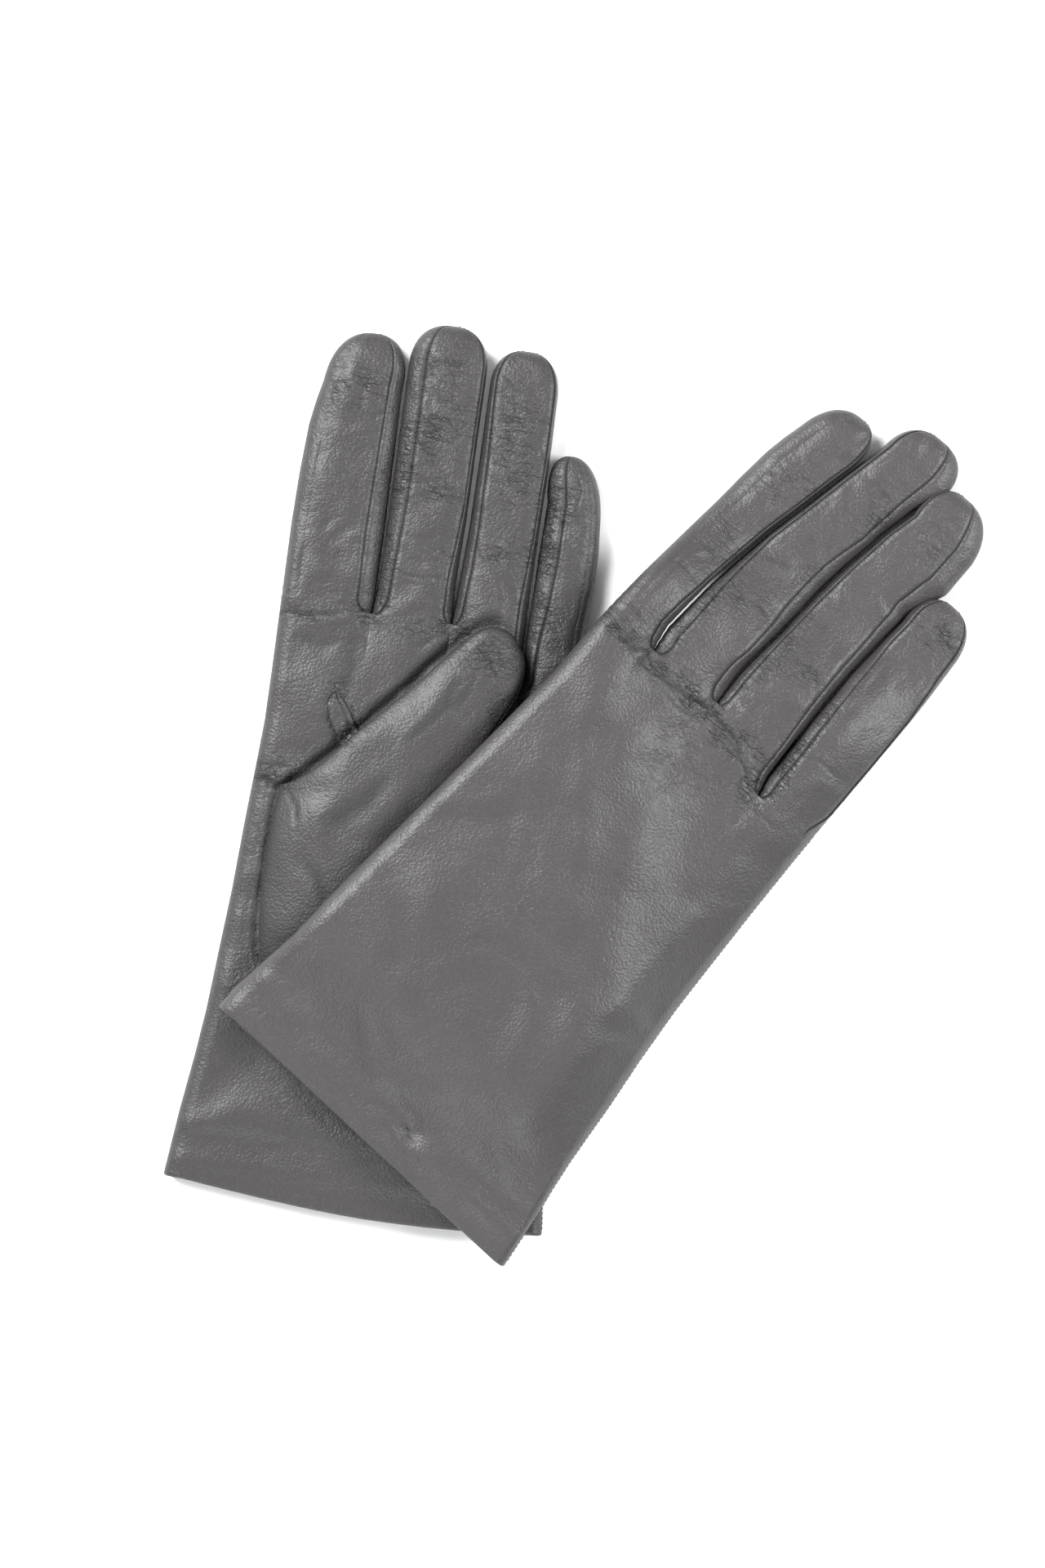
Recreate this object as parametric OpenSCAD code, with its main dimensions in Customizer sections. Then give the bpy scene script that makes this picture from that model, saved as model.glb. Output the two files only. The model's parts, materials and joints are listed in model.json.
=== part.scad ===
// A pair of lined leather dress gloves at rest: the left glove lies palm up,
// and the right glove lies back up across its cuff and palm.
// Each glove is drawn flat in its own frame (u across the hand, v towards the
// fingertips, w up) and is then leaned, placed and draped by place().

/* [Hand] */
// Half width of the cuff opening
cuff_half_w = 57.5; // [50:0.5:66]
// Half width of the palm, from the thumb to the knuckles
palm_half_w = 47; // [42:0.5:54]
// Length over which the cuff narrows to the palm
flare_len = 130; // [100:5:150]
// How far the middle of the cuff edge reaches past its corners
cuff_bow = 3.5; // [0:0.5:6]
// Height of the hand, lying flat
hand_t = 9; // [8:0.25:11]
// Height at the cuff edge
cuff_t = 8.6; // [7:0.1:9]
// Inward tuck of the right glove's index side at the knuckles
radial_tuck = 2.6; // [0:0.2:4]

/* [Fingers] */
// Height of a finger, lying flat
finger_t = 9.4; // [8.5:0.1:10.5]
// Slit between two neighbouring fingers
finger_gap = 0.7; // [0.5:0.1:1.2]
// Distance of the knuckle line of three fingers from the cuff
knuckle_v = 166; // [160:1:170]
// Distance of the little finger's knuckle line from the cuff
little_knuckle_v = 156; // [150:1:160]
// Added length of every finger past its knuckle
finger_stretch = 0; // [-8:1:12]

/* [Thumb] */
// Height of the thumb, folded flat on the palm
thumb_t = 8.2; // [7:0.2:9]
// Clearance between the thumb and its own palm
thumb_lift = 1.2; // [0.8:0.1:2]
// Half length of the thumb hole
thumb_hole_half_l = 15; // [12:1:18]
// Half width of the thumb hole
thumb_hole_half_w = 4.4; // [3:0.2:5]

/* [Leather, lining and thread] */
// Leather thickness
leather_t = 0.8; // [0.6:0.1:1.2]
// Knitted lining thickness
lining_t = 0.9; // [0.6:0.1:1.2]
// Depth of the turned-in hem at the cuff, where the lining starts
hem_depth = 16; // [10:1:24]
// Thread radius
thread_r = 0.25; // [0.2:0.05:0.35]

/* [Lying position] */
// Clockwise lean of the left glove
left_lean = 8; // [0:1:15]
// Clockwise lean of the right glove
right_lean = 40; // [30:1:50]
// Clearance kept between the two gloves
stack_gap = 0.6; // [0.4:0.1:1.5]
// Distance over which the right glove comes down beside the left one
fall_len = 45; // [35:5:60]

/* [Hidden] */
LEFT = 0;
RIGHT = 1;
INDEX = 0;
MIDDLE = 1;
RING = 2;
LITTLE = 3;
leather_colour = "dimgray";
gusset_colour = "#4f4b4b";
lining_colour = "#6e6a66";
thread_colour = "#161416";

// Cuff centre of each glove in the common frame
cuff_centre = [[-66.9, -123.8], [-64.4, -102.7]];
lean = [left_lean, right_lean];
// The palm side is up on the left glove and down on the right one
palm_side = [1, -1];

// Finger outlines: [distance from the cuff, centre, half width] up to where the tip rounds.
// The shaft bends at every row past the crease.
finger_outline = [
    [[[knuckle_v, -32.8, 13.9], [200, -32.8, 14.0], [238, -31.6, 12.8]],
     [[knuckle_v, -6.9, 11.9], [200, -6.7, 12.0], [246, -6.2, 11.5]],
     [[knuckle_v, 16.5, 11.5], [200, 16.6, 11.4], [243, 16.9, 10.8]],
     [[little_knuckle_v, 37.3, 9.4], [190, 37.4, 9.3], [214, 36.9, 8.8]]],
    [[[knuckle_v, -35.2, 8.9], [200, -33.2, 8.7], [236, -28.1, 10.2]],
     [[knuckle_v, -13.9, 12.4], [200, -12.3, 12.2], [252, -3.2, 11.3]],
     [[knuckle_v, 11.3, 12.7], [200, 12.0, 11.7], [214, 13.4, 11.3], [226, 15.0, 10.8], [240, 18.0, 11.6]],
     [[little_knuckle_v, 35.7, 11.4], [200, 35.7, 11.8], [214, 36.2, 11.2]]]];
// Fingertip: [distance from the cuff, centre]
finger_tip = [
    [[260, -29], [265.3, -5.3], [260.8, 16.8], [231.5, 34.6]],
    [[261.4, -22.5], [271.6, 0.5], [263, 20.5], [235.5, 35.5]]];
// Crease where each finger bends, counted from the cuff
crease_v = [[182, 189, 189, 181], [182, 182, 182, 173]];
crease_gap = 0.3;
// Overlap of the finger roots with the hand tube they grow from
root_overlap = 2;

// Thumb edges from its seam to where the tip rounds: [web side u, v, heel side u, v, height share]
thumb_edges = [
    [-38.5, 121.5, -38.0, 66.5, 0.28],
    [-31.0, 125.0, -26.0, 76.0, 0.70],
    [-23.0, 134.0, -13.0, 90.0, 0.96],
    [-11.5, 147.5, 1.5, 110.0, 1],
    [0.0, 160.0, 14.0, 127.5, 1],
    [10.0, 171.0, 23.0, 143.0, 1],
    [17.5, 175.8, 28.0, 156.0, 0.92],
    [23.5, 175.3, 28.6, 166.5, 0.62]];
// Row at which the thumb leaves its base and starts to swing
thumb_split = 2;
thumb_hole_centre = [-23, 106];
thumb_hole_turn = 10;
quirk_tip = [-24.6, 151.5];
quirk_foot = [-20.5, 136.5];
quirk_half_w = 3.4;
quirk_t = 0.5;
// Clearance of what is sewn on the palm from its faces, and of the quirk's almond
palm_touch = 0.06;
quirk_touch = 0.6;
// Clearance of the hand lining inside the leather
lining_ease = 0.08;
tack_at = [11, 10];

// Drape of the right glove over the left one
hand_rise = hand_t + stack_gap;
thumb_rise = thumb_t + thumb_lift;
thumb_zone_v = [8, 46, 181, 216];
thumb_zone_u = [31, 56];

ring_n = 16;
panel_k = 2;
tip_power = 2.4;
inner_t = leather_t + lining_t;

function flatten(l) = [for (a = l) for (b = a) b];
function ease(t) = let (c = max(0, min(1, t))) c * c * (3 - 2 * c);
function power_arc(s, p) = sign(s) * pow(abs(s), 2 / p);

// Hand outline: distance of either edge from the centre line, and the lying height
function hand_edge(v) = palm_half_w + (cuff_half_w - palm_half_w) * pow(max(0, 1 - v / flare_len), 1.6);
function index_edge(g, v) = -hand_edge(v) + (g == RIGHT ? radial_tuck * ease(v / 140) : 0);
function hand_height(v) = cuff_t + (hand_t - cuff_t) * ease(v / 30);

// Height of the underside of the right glove above the floor
function left_edge_x(y) = cuff_centre[LEFT][0] + cuff_half_w + 0.069 * (y - cuff_centre[LEFT][1]);
function thumb_zone(u, v) =
    ease((v - thumb_zone_v[0]) / (thumb_zone_v[1] - thumb_zone_v[0]))
    * (1 - ease((v - thumb_zone_v[2]) / (thumb_zone_v[3] - thumb_zone_v[2])))
    * (1 - ease((u - thumb_zone_u[0]) / (thumb_zone_u[1] - thumb_zone_u[0])));
function drape(x, y, u, v) =
    hand_rise * (1 - ease((x - left_edge_x(y) - 2) / fall_len)) + thumb_rise * thumb_zone(u, v);

// Glove frame [u, v, w] to the common frame
function place(g, p) = let (
    x = cuff_centre[g][0] + p[0] * cos(lean[g]) + p[1] * sin(lean[g]),
    y = cuff_centre[g][1] - p[0] * sin(lean[g]) + p[1] * cos(lean[g]))
    [x, y, p[2] + (g == RIGHT ? drape(x, y, p[0], p[1]) : 0)];

// A leather or knit sheet between an outer and an inner grid of points.
// wrap joins the last column to the first; capped closes the last row.
module skin(outer, inner, wrap = false, capped = false) {
    rows = len(outer);
    cols = len(outer[0]);
    last = wrap ? cols - 1 : cols - 2;
    n = rows * cols;
    function o(r, c) = r * cols + c % cols;
    function i(r, c) = n + r * cols + c % cols;
    function quad(a, b, c, d) = [[a, b, c], [a, c, d]];
    faces = concat(
        [for (r = [0:rows - 2]) for (c = [0:last])
            each quad(o(r, c), o(r, c + 1), o(r + 1, c + 1), o(r + 1, c))],
        [for (r = [0:rows - 2]) for (c = [0:last])
            each [[i(r, c), i(r + 1, c + 1), i(r, c + 1)], [i(r, c), i(r + 1, c), i(r + 1, c + 1)]]],
        [for (c = [0:last]) each quad(o(0, c), i(0, c), i(0, c + 1), o(0, c + 1))],
        capped
            ? [[for (c = [0:cols - 1]) o(rows - 1, c)], [for (c = [cols - 1:-1:0]) i(rows - 1, c)]]
            : [for (c = [0:last])
                each quad(o(rows - 1, c), o(rows - 1, c + 1), i(rows - 1, c + 1), i(rows - 1, c))],
        wrap ? [] : [for (r = [0:rows - 2])
            each quad(o(r, 0), o(r + 1, 0), i(r + 1, 0), i(r, 0))],
        wrap ? [] : [for (r = [0:rows - 2])
            each quad(o(r, cols - 1), i(r, cols - 1), i(r + 1, cols - 1), o(r + 1, cols - 1))]);
    polyhedron(concat(flatten(outer), flatten(inner)), faces, convexity = 8);
}

// A closed body through a list of rings
module loft(rings) {
    rows = len(rings);
    cols = len(rings[0]);
    polyhedron(flatten(rings), concat(
        [for (r = [0:rows - 2]) for (c = [0:cols - 1]) let (
            a = r * cols + c, b = r * cols + (c + 1) % cols)
            each [[a, b, b + cols], [a, b + cols, a + cols]]],
        [[for (c = [cols - 1:-1:0]) c]],
        [[for (c = [0:cols - 1]) (rows - 1) * cols + c]]), convexity = 6);
}

// A thread as a four-sided rod along points
module thread(points) {
    loft([for (k = [0:len(points) - 1]) let (
        a = points[max(0, k - 1)], b = points[min(len(points) - 1, k + 1)],
        along = (b - a) / norm(b - a),
        side = cross(along, [0, 0, 1]) / norm(cross(along, [0, 0, 1])),
        up = cross(side, along))
        [for (q = [0:3]) points[k] + thread_r * (cos(90 * q) * side + sin(90 * q) * up)]]);
}

// Section of the hand at distance v, offset inwards by d. One row of points round the tube.
side_shares = [1, 0.985, 0.93, 0.82, 0.64, 0.42, 0.2, 0, -0.2, -0.42, -0.64, -0.82, -0.93, -0.985];
function hand_ring(g, v, d, bow = 0, to_knuckle = false) = let (
    low = index_edge(g, v) + d,
    high = hand_edge(v) - d,
    b = hand_height(v) / 2 - d)
    [for (half = [1, -1]) for (s = side_shares) let (
        x = half * s,
        u = (low + high) / 2 + x * (high - low) / 2,
        w = half * b * pow(1 - pow(abs(s), 5), 1 / 5))
        place(g, [u, to_knuckle ? knuckle_at(u) : v - bow * (1 - s * s), hand_height(v) / 2 + w])];
function knuckle_at(u) = knuckle_v + (little_knuckle_v - knuckle_v) * ease((u - 18) / 14);

// The rows above the hem, which leather and lining share so that their faces match
hand_rows = [26, 38, 50, 66, 84, 100, 116, 130, 144, 153];
function hand_grid(g, d, inside = false) = concat(
    inside ? [] : [hand_ring(g, 0, d, cuff_bow)],
    [hand_ring(g, hem_depth, d, cuff_bow * (1 - hem_depth / 60))],
    [for (v = hand_rows) hand_ring(g, v, d)],
    [hand_ring(g, knuckle_v - 4, d, to_knuckle = true)]);

// Finger section: [distance, centre, half width, height, corner power, recess of the end row]
function finger_at(g, f, v, power = 2.8, height = finger_t) = let (table = finger_outline[g][f])
    [v, lookup(v, [for (r = table) [r[0], r[1]]]),
     lookup(v, [for (r = table) [r[0], r[2]]]) - finger_gap / 2, height, power, 0];
function tip_at(g, f, t, ends = 0) = let (
    s = tip_start(g, f), e = finger_tip[g][f])
    [s[0] + (e[0] - s[0]) * t + finger_stretch, s[1] + (e[1] - s[1]) * t,
     (s[2] - finger_gap / 2) * pow(1 - pow(t, tip_power), 1 / tip_power),
     finger_t * pow(1 - pow(t, 3), 1 / 3), 2.6, ends];
function finger_ring(g, s, d) = [for (k = [0:ring_n - 1]) let (a = 360 * k / ring_n)
    place(g, [s[1] + (s[2] - d) * power_arc(cos(a), s[4]), s[0] - s[5] * d,
              s[3] / 2 + (s[3] / 2 - d) * power_arc(sin(a), s[4])])];
function tip_start(g, f) = finger_outline[g][f][len(finger_outline[g][f]) - 1];
function shaft_rows(g, f) = let (
    near = crease_v[g][f], far = tip_start(g, f)[0])
    concat(
        [for (t = [0, 0.3, 0.55, 0.8]) let (s = finger_at(g, f, near + (far - near) * t))
            [s[0] + finger_stretch * t, s[1], s[2], s[3], s[4], s[5]]],
        [tip_at(g, f, 0.01), tip_at(g, f, 0.5), tip_at(g, f, 0.8)]);
function cap_rows(g, f) = [tip_at(g, f, 0.8), tip_at(g, f, 0.93), tip_at(g, f, 0.98, 1)];
function knuckle_ring(g, f, d, power) = let (s = finger_at(g, f, finger_outline[g][f][0][0], power, hand_t))
    [for (k = [0:ring_n - 1]) let (
        a = 360 * k / ring_n, u = s[1] + (s[2] - d) * power_arc(cos(a), s[4]))
        place(g, [u, knuckle_at(u) - root_overlap,
                  hand_t / 2 + (hand_t / 2 - d) * power_arc(sin(a), s[4])])];

module finger_panel(g, f, from, to) {
    grid = [for (d = [0, leather_t]) [for (s = shaft_rows(g, f)) let (ring = finger_ring(g, s, d))
        [for (k = [from:to]) ring[(k + ring_n) % ring_n]]]];
    skin(grid[0], grid[1]);
}

// Leather of one finger: the wrapped index panel, or a back and a palm panel, and the tip
module finger_leather(g, f) color(leather_colour) {
    if (f == INDEX) finger_panel(g, f, panel_k, ring_n - panel_k);
    else if (f == LITTLE) finger_panel(g, f, panel_k - ring_n / 2, ring_n / 2 - panel_k);
    else {
        finger_panel(g, f, panel_k, ring_n / 2 - panel_k);
        finger_panel(g, f, panel_k + ring_n / 2, ring_n - panel_k);
    }
    skin([for (s = cap_rows(g, f)) finger_ring(g, s, 0)],
         [for (s = cap_rows(g, f)) finger_ring(g, s, leather_t)], wrap = true, capped = true);
}

// Strip between two fingers, on the ulnar (+1) or radial (-1) side of finger f
module fourchette(g, f, side) color(gusset_colour)
    if (side > 0) finger_panel(g, f, -panel_k, panel_k);
    else finger_panel(g, f, ring_n / 2 - panel_k, ring_n / 2 + panel_k);

module finger_lining(g, f) color(lining_colour) {
    rows = concat(shaft_rows(g, f), [for (k = [1, 2]) cap_rows(g, f)[k]]);
    skin([for (s = rows) finger_ring(g, s, leather_t)],
         [for (s = rows) finger_ring(g, s, inner_t)], wrap = true, capped = true);
}

// Four seams of a finger, or two where the leather wraps round one side
module finger_threads(g, f) color(thread_colour)
    for (k = f == INDEX ? [panel_k, -panel_k]
           : f == LITTLE ? [ring_n / 2 - panel_k, ring_n / 2 + panel_k]
           : [panel_k, -panel_k, ring_n / 2 - panel_k, ring_n / 2 + panel_k])
        thread([for (s = shaft_rows(g, f)) let (
            along = [s[0] + thread_r * 2, s[1], s[2], s[3], s[4], 0])
            finger_ring(g, along, -thread_r - 0.08)[(k + ring_n) % ring_n]]);

// Oval hole where the thumb opens into the hand, as an upright prism
module thumb_hole(g) {
    centre = place(g, [thumb_hole_centre[0], thumb_hole_centre[1], 0]);
    reach = hand_t / 2 + thumb_lift + leather_t + 0.3;
    translate([centre[0], centre[1], centre[2] + (palm_side[g] > 0 ? hand_t / 2 : hand_t / 2 - reach)])
        rotate(-lean[g] + thumb_hole_turn)
            linear_extrude(reach)
                polygon([for (a = [0:24:336]) [thumb_hole_half_w * cos(a), thumb_hole_half_l * sin(a)]]);
}

// Palm, back and cuff in one piece of leather, with the four finger roots
module hand_leather(g) color(leather_colour) {
    difference() {
        skin(hand_grid(g, 0), hand_grid(g, leather_t), wrap = true);
        thumb_hole(g);
    }
    for (f = [INDEX:LITTLE]) finger_root(g, f, 0, leather_t);
}

// Its lining, trimmed where the leather's finger roots cross it
module hand_lining(g) color(lining_colour)
    difference() {
        union() {
            difference() {
                skin(hand_grid(g, leather_t + lining_ease, true), hand_grid(g, inner_t, true), wrap = true);
                thumb_hole(g);
            }
            for (f = [INDEX:LITTLE]) finger_root(g, f, leather_t + lining_ease, inner_t, 4.5);
        }
        hand_leather(g);
    }

// Start of a finger, out of the hand; a lower corner power rounds it more
module finger_root(g, f, outer_d, inner_d, power = 7)
    skin([knuckle_ring(g, f, outer_d, power), root_end(g, f, outer_d)],
         [knuckle_ring(g, f, inner_d, power), root_end(g, f, inner_d)], wrap = true);
function root_end(g, f, d) = finger_ring(g, finger_at(g, f, crease_v[g][f] - crease_gap), d);

// Thumb section between its two edges, at grid row r, offset inwards by d
function thumb_ring(g, e, d, lift = thumb_lift) = let (
    half = norm([e[2] - e[0], e[3] - e[1]]) / 2,
    share = (half - d) / half,
    b = max(0.12, e[4] * thumb_t / 2 - d),
    mid_w = palm_side[g] > 0 ? hand_t + lift + thumb_t * e[4] / 2
                             : -lift - thumb_t * e[4] / 2)
    [for (k = [0:ring_n - 1]) let (
        a = 360 * k / ring_n,
        s = 0.5 + 0.5 * share * power_arc(cos(a), 2.8))
        place(g, on_palm(g, e[0] + (e[2] - e[0]) * s, e[1] + (e[3] - e[1]) * s,
                         mid_w + b * power_arc(sin(a), 2.8)))];
// Keeps a point of the thumb out of the hand: it comes to rest just off the palm
function on_palm(g, u, v, w) = let (
    s = (2 * u - index_edge(g, v) - hand_edge(v)) / (hand_edge(v) - index_edge(g, v)),
    rise = hand_height(v) / 2 * (1 + pow(max(0, 1 - pow(abs(s), 5)), 1 / 5)) + palm_touch)
    [u, v, palm_side[g] > 0 ? max(w, rise) : min(w, hand_height(v) - rise)];
function shifted(e, along) = let (
    m = [e[2] - e[0], e[3] - e[1]] / norm([e[2] - e[0], e[3] - e[1]]),
    n = [-m[1], m[0]] * along)
    [e[0] + n[0], e[1] + n[1], e[2] + n[0], e[3] + n[1], e[4]];

// Base of the thumb, sewn to the palm round the hole
module thumb_base_leather(g) color(leather_colour)
    difference() {
        loft([for (r = [0:thumb_split])
            thumb_ring(g, thumb_edges[r], 0, r < thumb_split ? 0 : thumb_lift)]);
        loft([thumb_ring(g, thumb_edges[1], leather_t, 0),
              thumb_ring(g, thumb_edges[thumb_split], leather_t),
              thumb_ring(g, shifted(thumb_edges[thumb_split], 1), leather_t)]);
        thumb_hole(g);
    }

function thumb_shaft() = [for (r = [thumb_split:len(thumb_edges) - 1])
    r == thumb_split ? shifted(thumb_edges[r], crease_gap) : thumb_edges[r]];
module thumb_leather(g) color(leather_colour)
    skin([for (e = thumb_shaft()) thumb_ring(g, e, 0)],
         [for (e = thumb_inner_rows(1)) thumb_ring(g, e, leather_t)], wrap = true, capped = true);
module thumb_lining(g) color(lining_colour)
    skin([for (e = thumb_inner_rows(1)) thumb_ring(g, e, leather_t)],
         [for (e = thumb_inner_rows(2)) thumb_ring(g, e, inner_t)], wrap = true, capped = true);
function thumb_inner_rows(layers) = let (rows = thumb_shaft(), n = len(rows))
    [for (r = [0:n - 1]) r == n - 1 ? shifted(rows[r], -layers * leather_t) : rows[r]];

// Small almond gusset beside the thumb, lying on the palm
module thumb_quirk(g) color(gusset_colour) {
    axis = quirk_foot - quirk_tip;
    side = [axis[1], -axis[0]] / norm(axis);
    rim = [for (k = [0:11]) let (a = 30 * k)
        (quirk_tip + quirk_foot) / 2 + axis / 2 * cos(a) + side * quirk_half_w * sin(a)];
    low = palm_side[g] > 0 ? quirk_touch : -quirk_t - quirk_touch;
    loft([for (w = [low, low + quirk_t]) [for (r = rim)
        place(g, on_palm(g, r[0], r[1], palm_side[g] > 0 ? 0 : hand_t) + [0, 0, w])]]);
}

module side_seam_thread(g) color(thread_colour)
    thread([for (v = [4, 22, 44, 66, 90, 116, 142])
        place(g, [hand_edge(v) + thread_r + 0.15, v, hand_height(v) / 2])]);

module thumb_seam_thread(g) color(thread_colour) {
    e = thumb_edges[0];
    w = palm_side[g] > 0 ? hand_t + thread_r + 0.12 : -thread_r - 0.12;
    thread([for (s = [0:0.25:1])
        place(g, [e[0] + (e[2] - e[0]) * s - 1.2, e[1] + (e[3] - e[1]) * s, w])]);
}

// Hem stitching round the inside of the cuff, against the lining's edge
module hem_thread(g) color(thread_colour)
    for (half = [0, 1]) {
        d = leather_t + thread_r + 0.1;
        edge = hand_ring(g, 0, d, cuff_bow);
        hem = hand_ring(g, hem_depth, d, cuff_bow * (1 - hem_depth / 60));
        ring = edge + (hem - edge) * (1 - 1.2 / hem_depth);
        thread([for (k = [half * 14 + 2:half * 14 + 12]) ring[k]]);
    }

// Bar tack that holds the hem to the back of the hand
module lining_tack(g) color(thread_colour) {
    w = palm_side[g] > 0 ? leather_t + thread_r + 0.1 : hand_height(tack_at[1]) - leather_t - thread_r - 0.1;
    thread([for (t = [-1.2, 0, 1.2]) place(g, [tack_at[0] + t, tack_at[1], w])]);
}

hand_leather(LEFT);  // left_hand_leather
finger_leather(LEFT, INDEX);  // left_index_leather
finger_leather(LEFT, MIDDLE);  // left_middle_leather
finger_leather(LEFT, RING);  // left_ring_leather
finger_leather(LEFT, LITTLE);  // left_little_leather
thumb_base_leather(LEFT);  // left_thumb_base_leather
thumb_leather(LEFT);  // left_thumb_leather
thumb_quirk(LEFT);  // left_thumb_quirk
fourchette(LEFT, INDEX, 1);  // left_index_fourchette
fourchette(LEFT, MIDDLE, -1);  // left_middle_radial_fourchette
fourchette(LEFT, MIDDLE, 1);  // left_middle_ulnar_fourchette
fourchette(LEFT, RING, -1);  // left_ring_radial_fourchette
fourchette(LEFT, RING, 1);  // left_ring_ulnar_fourchette
fourchette(LEFT, LITTLE, -1);  // left_little_fourchette
hand_lining(LEFT);  // left_hand_lining
finger_lining(LEFT, INDEX);  // left_index_lining
finger_lining(LEFT, MIDDLE);  // left_middle_lining
finger_lining(LEFT, RING);  // left_ring_lining
finger_lining(LEFT, LITTLE);  // left_little_lining
thumb_lining(LEFT);  // left_thumb_lining
finger_threads(LEFT, INDEX);  // left_index_seam_thread
finger_threads(LEFT, MIDDLE);  // left_middle_seam_thread
finger_threads(LEFT, RING);  // left_ring_seam_thread
finger_threads(LEFT, LITTLE);  // left_little_seam_thread
side_seam_thread(LEFT);  // left_side_seam_thread
thumb_seam_thread(LEFT);  // left_thumb_seam_thread
hem_thread(LEFT);  // left_hem_thread
lining_tack(LEFT);  // left_lining_tack
hand_leather(RIGHT);  // right_hand_leather
finger_leather(RIGHT, INDEX);  // right_index_leather
finger_leather(RIGHT, MIDDLE);  // right_middle_leather
finger_leather(RIGHT, RING);  // right_ring_leather
finger_leather(RIGHT, LITTLE);  // right_little_leather
thumb_base_leather(RIGHT);  // right_thumb_base_leather
thumb_leather(RIGHT);  // right_thumb_leather
thumb_quirk(RIGHT);  // right_thumb_quirk
fourchette(RIGHT, INDEX, 1);  // right_index_fourchette
fourchette(RIGHT, MIDDLE, -1);  // right_middle_radial_fourchette
fourchette(RIGHT, MIDDLE, 1);  // right_middle_ulnar_fourchette
fourchette(RIGHT, RING, -1);  // right_ring_radial_fourchette
fourchette(RIGHT, RING, 1);  // right_ring_ulnar_fourchette
fourchette(RIGHT, LITTLE, -1);  // right_little_fourchette
hand_lining(RIGHT);  // right_hand_lining
finger_lining(RIGHT, INDEX);  // right_index_lining
finger_lining(RIGHT, MIDDLE);  // right_middle_lining
finger_lining(RIGHT, RING);  // right_ring_lining
finger_lining(RIGHT, LITTLE);  // right_little_lining
thumb_lining(RIGHT);  // right_thumb_lining
finger_threads(RIGHT, INDEX);  // right_index_seam_thread
finger_threads(RIGHT, MIDDLE);  // right_middle_seam_thread
finger_threads(RIGHT, RING);  // right_ring_seam_thread
finger_threads(RIGHT, LITTLE);  // right_little_seam_thread
side_seam_thread(RIGHT);  // right_side_seam_thread
thumb_seam_thread(RIGHT);  // right_thumb_seam_thread
hem_thread(RIGHT);  // right_hem_thread
lining_tack(RIGHT);  // right_lining_tack
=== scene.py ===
import json
import math

import bmesh
import bpy
import numpy as np
from mathutils import Matrix, Vector


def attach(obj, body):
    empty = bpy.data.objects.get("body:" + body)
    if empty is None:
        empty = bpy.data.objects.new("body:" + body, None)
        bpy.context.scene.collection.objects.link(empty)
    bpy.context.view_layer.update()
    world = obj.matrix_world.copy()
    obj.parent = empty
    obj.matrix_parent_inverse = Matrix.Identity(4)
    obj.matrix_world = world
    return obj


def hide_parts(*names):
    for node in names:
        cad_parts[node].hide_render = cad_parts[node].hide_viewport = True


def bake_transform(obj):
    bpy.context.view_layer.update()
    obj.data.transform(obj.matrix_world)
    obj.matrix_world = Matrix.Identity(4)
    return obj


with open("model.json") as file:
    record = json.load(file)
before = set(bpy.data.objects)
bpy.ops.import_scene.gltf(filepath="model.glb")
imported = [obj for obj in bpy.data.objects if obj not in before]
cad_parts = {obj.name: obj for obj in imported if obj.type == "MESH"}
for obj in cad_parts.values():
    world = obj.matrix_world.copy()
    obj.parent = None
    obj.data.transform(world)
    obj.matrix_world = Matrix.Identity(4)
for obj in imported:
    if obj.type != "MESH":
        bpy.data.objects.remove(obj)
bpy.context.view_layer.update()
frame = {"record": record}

# ---------------------------------------------------------------------------
# Studio. A plain pale table top, three large soft lamps and a bright even room,
# with the camera straight above the pair, fingertips of the left glove upwards.
# ---------------------------------------------------------------------------
camera_height = 1.2
table_height_in_view = 0.4742
sensor = 0.036

camera_data = bpy.data.cameras.new("camera")
camera_data.sensor_width = sensor * 1000
camera_data.lens = sensor * 1000 * camera_height / table_height_in_view
camera_data.clip_end = 20
camera = bpy.data.objects.new("camera", camera_data)
camera.location = (-0.0158, 0.0020, camera_height)
bpy.context.collection.objects.link(camera)
bpy.context.scene.camera = camera

for lamp_name, place, aim, size, power in (
    ("window_lamp", (-0.95, 0.85, 1.2), (0, 0, 0), 0.8, 62),
    ("side_lamp", (1.2, 0.1, 0.95), (0, 0, 0), 0.6, 26),
    ("front_lamp", (-0.3, -1.35, 1.1), (0, 0, 0), 0.9, 18),
):
    lamp_data = bpy.data.lights.new(lamp_name, "AREA")
    lamp_data.shape = "SQUARE"
    lamp_data.size = size
    lamp_data.energy = power
    lamp = bpy.data.objects.new(lamp_name, lamp_data)
    lamp.location = place
    lamp.rotation_mode = "QUATERNION"
    lamp.rotation_quaternion = (Vector(aim) - Vector(place)).to_track_quat("-Z", "Y")
    bpy.context.collection.objects.link(lamp)

room = bpy.data.worlds.new("room")
room.use_nodes = True
room.node_tree.nodes["Background"].inputs["Color"].default_value = (1, 1, 1, 1)
room.node_tree.nodes["Background"].inputs["Strength"].default_value = 0.42
bpy.context.scene.world = room
bpy.context.scene.view_settings.view_transform = "Standard"

table_mesh = bmesh.new()
bmesh.ops.create_grid(table_mesh, x_segments=1, y_segments=1, size=3)
table_data = bpy.data.meshes.new("table_top")
table_mesh.to_mesh(table_data)
table_mesh.free()
table_top = bpy.data.objects.new("table_top", table_data)
bpy.context.collection.objects.link(table_top)
table_finish = bpy.data.materials.new("white_table")
table_finish.use_nodes = True
table_paint = table_finish.node_tree.nodes["Principled BSDF"].inputs
table_paint["Base Color"].default_value = (0.93, 0.935, 0.94, 1)
table_paint["Roughness"].default_value = 0.9
table_data.materials.append(table_finish)

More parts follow.
